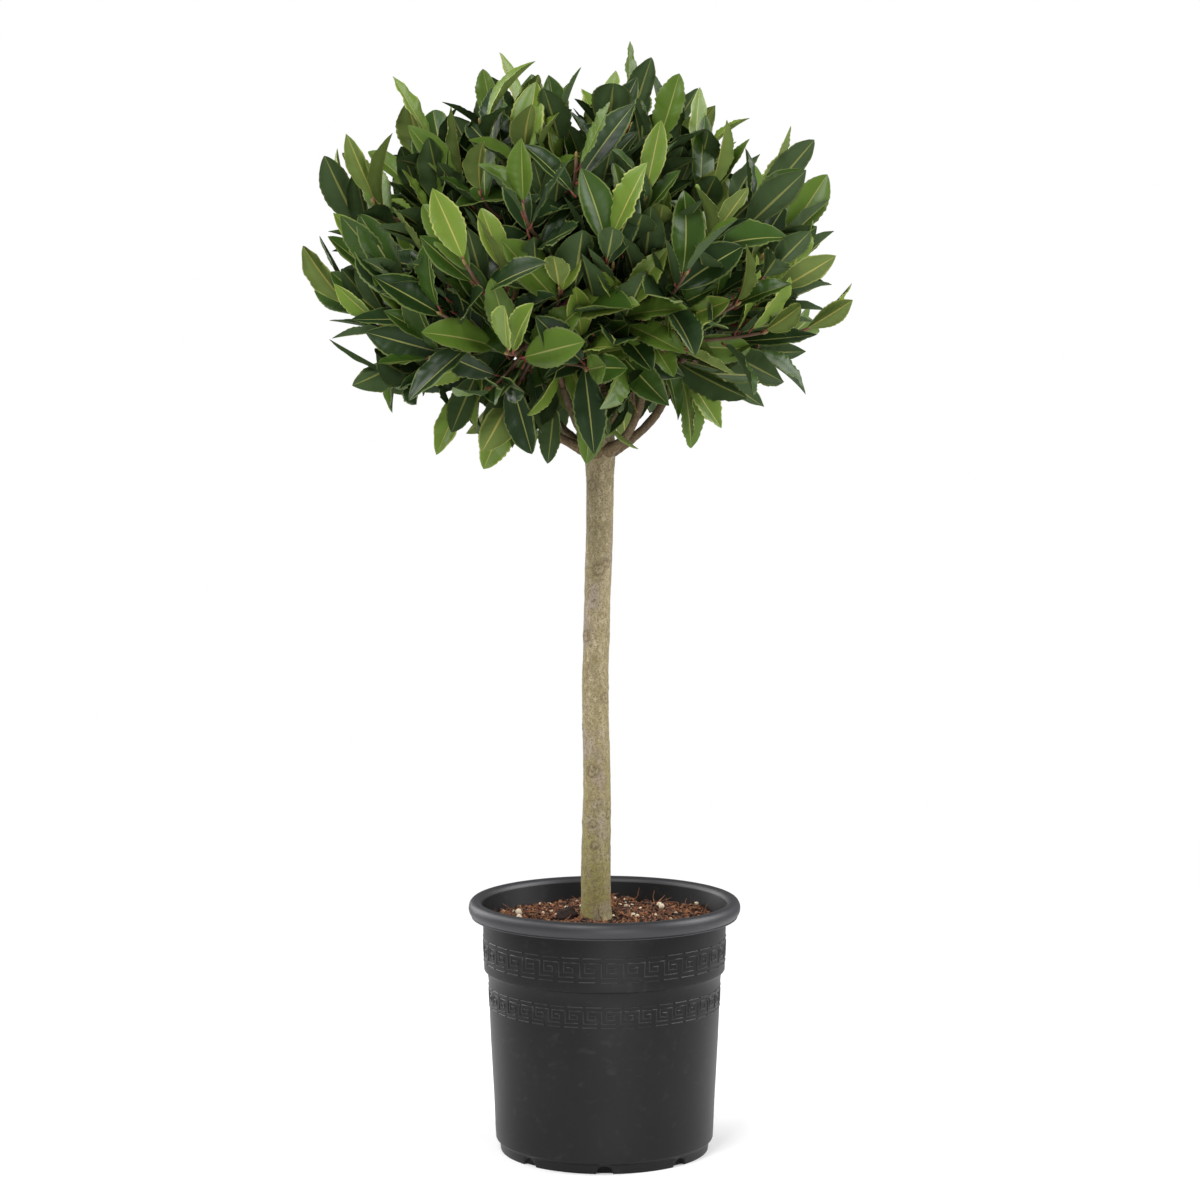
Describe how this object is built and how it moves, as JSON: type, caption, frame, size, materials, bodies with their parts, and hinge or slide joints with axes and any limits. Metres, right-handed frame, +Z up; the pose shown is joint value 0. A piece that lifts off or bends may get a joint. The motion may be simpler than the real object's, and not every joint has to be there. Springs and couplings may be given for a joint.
{
  "type": "potted standard bay topiary",
  "caption": "Bay laurel trained as a standard: a loose clipped ball of evergreen leaves on a bare upright stem, growing in a round moulded plastic nursery pot filled with compost.",
  "frame": {"origin": "centre of the pot's flat underside", "axes": "+Z up along the pot and the stem, -Y is the front, +X to the front's right"},
  "size_m": [0.5673, 0.5618, 1.1324],
  "materials": {
    "pot_plastic": "matt moulded charcoal plastic with a slightly shinier rim",
    "compost": "loose brown bark and coir compost with white perlite grains",
    "bark": "smooth khaki-grey bark with small raised pores and a few pruning scars",
    "foliage": "leathery leaves, satin above and paler beneath"
  },
  "bodies": {
    "root": {"pot": "pot_plastic", "soil": "compost", "trunk": "bark", "bough_crest": "bark", "bough_shoulder_1": "bark", "bough_shoulder_2": "bark", "bough_shoulder_3": "bark", "bough_shoulder_4": "bark", "bough_shoulder_5": "bark", "bough_skirt_1": "bark", "bough_skirt_2": "bark", "bough_skirt_3": "bark", "bough_skirt_4": "bark", "bough_skirt_5": "bark", "bough_skirt_6": "bark", "foliage_crest": "foliage", "foliage_shoulder_1": "foliage", "foliage_shoulder_2": "foliage", "foliage_shoulder_3": "foliage", "foliage_shoulder_4": "foliage", "foliage_shoulder_5": "foliage", "foliage_skirt_1": "foliage", "foliage_skirt_2": "foliage", "foliage_skirt_3": "foliage", "foliage_skirt_4": "foliage", "foliage_skirt_5": "foliage", "foliage_skirt_6": "foliage"}
  },
  "joints": []
}
